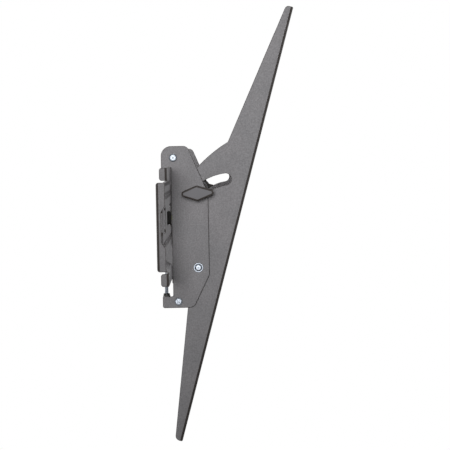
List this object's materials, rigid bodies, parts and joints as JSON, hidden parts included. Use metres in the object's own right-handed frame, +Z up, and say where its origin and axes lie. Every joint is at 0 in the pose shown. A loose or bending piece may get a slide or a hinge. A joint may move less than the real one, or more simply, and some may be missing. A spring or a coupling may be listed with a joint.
{
  "type": "tv mount",
  "caption": "Tilting television wall mount: a slotted wall plate with hooked brackets that slide along it, clamp-knob tilt arms and lock screws.",
  "frame": {"origin": "middle of the wall plate's back, on the wall", "axes": "+X along the rails, -Y from the wall to the television, +Z up"},
  "size_m": [0.67, 0.1367, 0.4348],
  "materials": {
    "grey_steel": "fine textured powder coat, mid grey",
    "grey_plastic": "satin moulded grey",
    "black_plastic": "matt moulded black",
    "black_nut": "black oxide",
    "zinc": "bright zinc plate",
    "level_liquid": "clear, tinted green"
  },
  "bodies": {
    "wall": {"wall_plate": "grey_steel", "level_holder": "black_plastic", "level_vial": "level_liquid"},
    "left_bracket": {"left_hook_plate": "grey_steel", "left_hook_pad": "black_plastic", "left_hook_pad_screw": "zinc", "left_lock_block": "black_plastic", "left_lock_block_screw": "zinc", "left_lock_nut": "black_nut", "left_pivot_rivet": "zinc", "left_pivot_spacer": "black_plastic", "left_pivot_washer": "zinc", "left_clamp_bolt": "black_nut", "left_friction_ring": "black_plastic", "left_pressure_disc": "grey_plastic"},
    "left_arm": {"left_tilt_arm": "grey_steel"},
    "left_clamp": {"left_knob": "grey_plastic"},
    "left_lock": {"left_lock_screw": "zinc"},
    "right_bracket": {"right_hook_plate": "grey_steel", "right_hook_pad": "black_plastic", "right_hook_pad_screw": "zinc", "right_lock_block": "black_plastic", "right_lock_block_screw": "zinc", "right_lock_nut": "black_nut", "right_pivot_rivet": "zinc", "right_pivot_spacer": "black_plastic", "right_pivot_washer": "zinc", "right_clamp_bolt": "black_nut", "right_friction_ring": "black_plastic", "right_pressure_disc": "grey_plastic"},
    "right_arm": {"right_tilt_arm": "grey_steel"},
    "right_clamp": {"right_knob": "grey_plastic"},
    "right_lock": {"right_lock_screw": "zinc"}
  },
  "joints": [
    {"name": "left_bracket_slide", "type": "slide", "parent": "wall", "child": "left_bracket", "axis": [1, 0, 0], "range_m": [-0.12, 0.15]},
    {"name": "left_tilt", "type": "hinge", "parent": "left_bracket", "child": "left_arm", "pos_m": [-0.2, -0.072, -0.007], "axis": [-1, 0, 0], "range_deg": [0, 30.8]},
    {"name": "left_knob_turn", "type": "hinge", "parent": "left_bracket", "child": "left_clamp", "pos_m": [-0.2, -0.0377, 0.0295], "axis": [-1, 0, 0], "continuous": true},
    {"name": "left_lock_slide", "type": "slide", "parent": "left_bracket", "child": "left_lock", "axis": [0, 0, -1], "range_m": [0, 0.008]},
    {"name": "right_bracket_slide", "type": "slide", "parent": "wall", "child": "right_bracket", "axis": [1, 0, 0], "range_m": [-0.15, 0.12]},
    {"name": "right_tilt", "type": "hinge", "parent": "right_bracket", "child": "right_arm", "pos_m": [0.2, -0.072, -0.007], "axis": [-1, 0, 0], "range_deg": [0, 30.8]},
    {"name": "right_knob_turn", "type": "hinge", "parent": "right_bracket", "child": "right_clamp", "pos_m": [0.2, -0.0377, 0.0295], "axis": [1, 0, 0], "continuous": true},
    {"name": "right_lock_slide", "type": "slide", "parent": "right_bracket", "child": "right_lock", "axis": [0, 0, -1], "range_m": [0, 0.008]}
  ]
}
